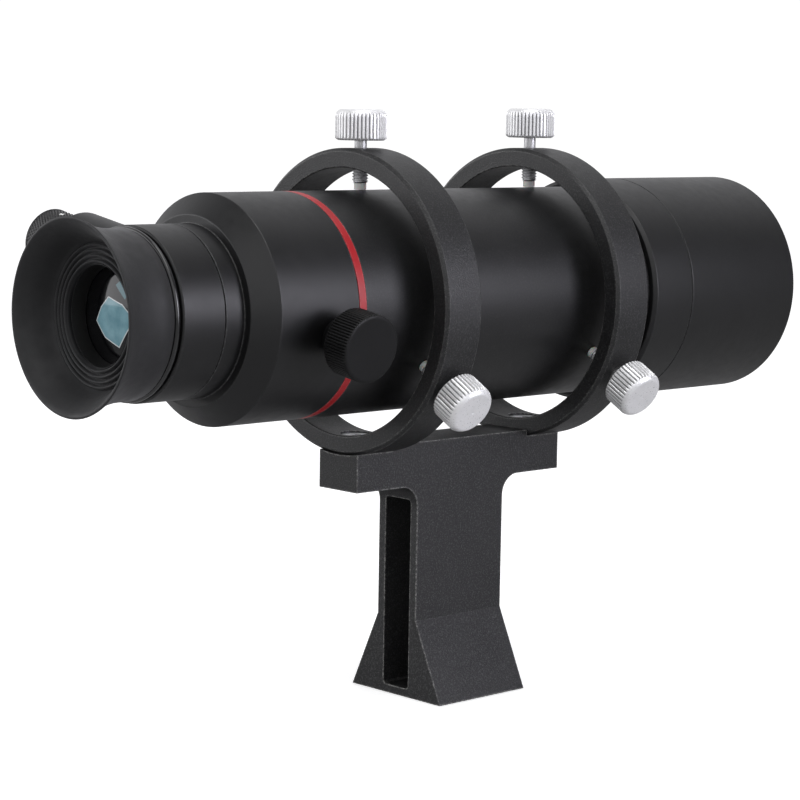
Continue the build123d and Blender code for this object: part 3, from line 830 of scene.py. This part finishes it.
eye = arc(-94.9, -98.0, 12.4) + list(reversed(arc(-103.0, -101.4, 12.4)))
lathe("eye_lens_body", eye, eye_glass, "eyepiece", "eye_lens", soften=0.0, sharp=30)
field = arc(-78.6, -80.6, 12.4) + list(reversed(arc(-86.4, -84.0, 12.4)))
lathe("field_lens_body", field, lens_glass, "eyepiece", "field_lens", soften=0.0, sharp=30)

cup = [(-105.4, 11.6), (-105.4, 16.8), (-99.96, 16.8), (-99.96, 19.0), (-100.2, 19.3), (-103.2, 19.3)]
cup += [(-105.5, 19.4), (-108.5, 19.9), (-110.8, 20.6), (-112.6, 21.45), (-113.7, 22.05), (-114.1, 22.2)]
cup += [(-114.2, 22.1), (-114.3, 21.8), (-114.2, 21.5), (-113.4, 20.75), (-111.9, 19.6), (-110.2, 18.6)]
cup += [(-108.6, 17.85), (-107.3, 17.2), (-106.7, 16.8)]
for rib in (15.8, 14.6, 13.4, 12.2):
    cup += [(-106.25, rib + 0.5), (-106.7, rib + 0.34), (-106.95, rib + 0.16), (-107.02, rib)]
    cup += [(-106.95, rib - 0.16), (-106.7, rib - 0.34), (-106.25, rib - 0.5)]
cup += [(-106.6, 11.6), (-106.3, 11.4), (-105.8, 11.4)]
lathe("eyecup_body", cup, rubber, "eyepiece", "eyecup", segments=320, soften=0.0, sharp=60)

# ------------------------------------------------------------------ CAD nodes that keep their own mesh
CAD_LOOKS = {
    "ring_bolts": steel,
    "tube_baffles": stray_black,
    "prism_cage": stray_black,
    "entrance_prism": prism_glass,
    "roof_prism": prism_glass,
    "reticle_cell": stray_black,
    "reticle": lens_glass,
    "illuminator_lamp": lamp_red,
    "button_cells": cell_steel,
    "contact_spring": brass,
    "lock_tip": brass,
    "objective_spacer": stray_black,
    "objective_retainer": stray_black,
    "lens_spacer": stray_black,
    "field_retainer": stray_black,
}
for node, material in CAD_LOOKS.items():
    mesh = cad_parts[node].data
    mesh.materials.clear()
    mesh.materials.append(material)

# ------------------------------------------------------------------ stage
ROOM_LIGHT = 0.13
RIGHT_PANEL = 0.02
LEFT_PANEL = 2.1
TOP_PANEL = 0.60
FRONT_PANEL = 0.95

bm = bmesh.new()
bmesh.ops.create_grid(bm, x_segments=8, y_segments=8, size=3.0)
mesh = bpy.data.meshes.new("floor")
bm.to_mesh(mesh)
bm.free()
floor = bpy.data.objects.new("floor", mesh)
floor.location = (0, 0, -0.0002)
bpy.context.scene.collection.objects.link(floor)
floor_paper, tree, shader = node_material("floor_paper")
paper_tone = ramp(tree, grain(tree, 3.0, 2.0), (0.80, 0.80, 0.80), (0.83, 0.83, 0.83))
tree.links.new(paper_tone, shader.inputs["Base Color"])
shader.inputs["Roughness"].default_value = 0.9
shader.inputs["Specular IOR Level"].default_value = 0.1
shader.inputs["Emission Color"].default_value = (1, 1, 1, 1)
shader.inputs["Emission Strength"].default_value = 0.62
dim = add(tree, "ShaderNodeBsdfDiffuse", Color=(0.42, 0.42, 0.42, 1))
path = add(tree, "ShaderNodeLightPath")
choose = add(tree, "ShaderNodeMixShader")
tree.links.new(path.outputs["Is Camera Ray"], choose.inputs["Fac"])
tree.links.new(dim.outputs["BSDF"], choose.inputs[1])
tree.links.new(shader.outputs["BSDF"], choose.inputs[2])
tree.links.new(choose.outputs["Shader"], tree.nodes["Material Output"].inputs["Surface"])
mesh.materials.append(floor_paper)

# The studio: a dim room with four broad soft panels, and a white backdrop behind the object.
PANELS = (
    ((0.85, 0.50, 0.10), 0.40, 0.98, RIGHT_PANEL),
    ((-0.72, -0.68, 0.05), 0.55, 0.98, LEFT_PANEL),
    ((-0.50, 0.70, 0.50), 0.50, 0.98, TOP_PANEL),
    ((0.66, -0.70, 0.30), 0.55, 0.98, FRONT_PANEL),
)
world = bpy.data.worlds.new("studio")
bpy.context.scene.world = world
world.use_nodes = True
tree = world.node_tree
background = tree.nodes["Background"]
place = add(tree, "ShaderNodeTexCoord")
total = None
for aim, start, full, strength in PANELS:
    dot = add(tree, "ShaderNodeVectorMath", operation="DOT_PRODUCT")
    dot.inputs[1].default_value = Vector(aim).normalized()
    tree.links.new(place.outputs["Generated"], dot.inputs[0])
    panel = add(tree, "ShaderNodeMapRange", interpolation_type="SMOOTHSTEP")
    panel.inputs["From Min"].default_value = start
    panel.inputs["From Max"].default_value = full
    panel.inputs["To Max"].default_value = strength
    tree.links.new(dot.outputs["Value"], panel.inputs["Value"])
    if total is None:
        total = panel.outputs["Result"]
    else:
        plus = add(tree, "ShaderNodeMath", operation="ADD")
        tree.links.new(total, plus.inputs[0])
        tree.links.new(panel.outputs["Result"], plus.inputs[1])
        total = plus.outputs[0]
plus = add(tree, "ShaderNodeMath", operation="ADD")
plus.inputs[1].default_value = ROOM_LIGHT
tree.links.new(total, plus.inputs[0])
tree.links.new(plus.outputs[0], background.inputs["Strength"])
background.inputs["Color"].default_value = (0.975, 0.975, 1.0, 1)
seen = add(tree, "ShaderNodeBackground")
seen.inputs["Color"].default_value = (1, 1, 1, 1)
seen.inputs["Strength"].default_value = 1.05
path = add(tree, "ShaderNodeLightPath")
choose = add(tree, "ShaderNodeMixShader")
tree.links.new(path.outputs["Is Camera Ray"], choose.inputs["Fac"])
tree.links.new(background.outputs["Background"], choose.inputs[1])
tree.links.new(seen.outputs["Background"], choose.inputs[2])
tree.links.new(choose.outputs["Shader"], tree.nodes["World Output"].inputs["Surface"])


def area_light(name, location, target, size, power, shape_y=None):
    light = bpy.data.lights.new(name, "AREA")
    light.energy = power
    light.size = size
    if shape_y:
        light.shape = "RECTANGLE"
        light.size_y = shape_y
    lamp = bpy.data.objects.new(name, light)
    lamp.location = location
    lamp.rotation_euler = (Vector(target) - Vector(location)).to_track_quat("-Z", "Y").to_euler()
    bpy.context.scene.collection.objects.link(lamp)
    return lamp


CENTRE = (0, 0, 0.09)
area_light("top_soft", (0.25, -0.15, 1.1), CENTRE, 0.6, 5.0, 0.8)
side = area_light("side_soft", (0.44, 0.12, 0.20), (0, -0.08, 0.09), 0.34, 0.25, 0.40)
side.data.spread = math.radians(44)
side.data.color = (0.91, 0.90, 1.0)

# ------------------------------------------------------------------ camera
azimuth, elevation, roll = math.radians(46.791), math.radians(6.927), math.radians(0.951)
level = math.cos(elevation)
back = Vector((math.sin(azimuth) * level, -math.cos(azimuth) * level, math.sin(elevation)))
level_right = (-back).cross(Vector((0, 0, 1))).normalized()
level_up = level_right.cross(-back)
right = level_right * math.cos(roll) + level_up * math.sin(roll)
up = -level_right * math.sin(roll) + level_up * math.cos(roll)
camera_data = bpy.data.cameras.new("camera")
camera_data.lens = 109.48
camera_data.sensor_width = 36.0
camera_data.clip_start = 0.01
camera = bpy.data.objects.new("camera", camera_data)
facing = Matrix((right, up, back)).transposed().to_4x4()
camera.matrix_world = Matrix.Translation((0.43453, -0.42307, 0.14670)) @ facing
bpy.context.scene.collection.objects.link(camera)
bpy.context.scene.camera = camera
bpy.context.scene.view_settings.view_transform = "Standard"
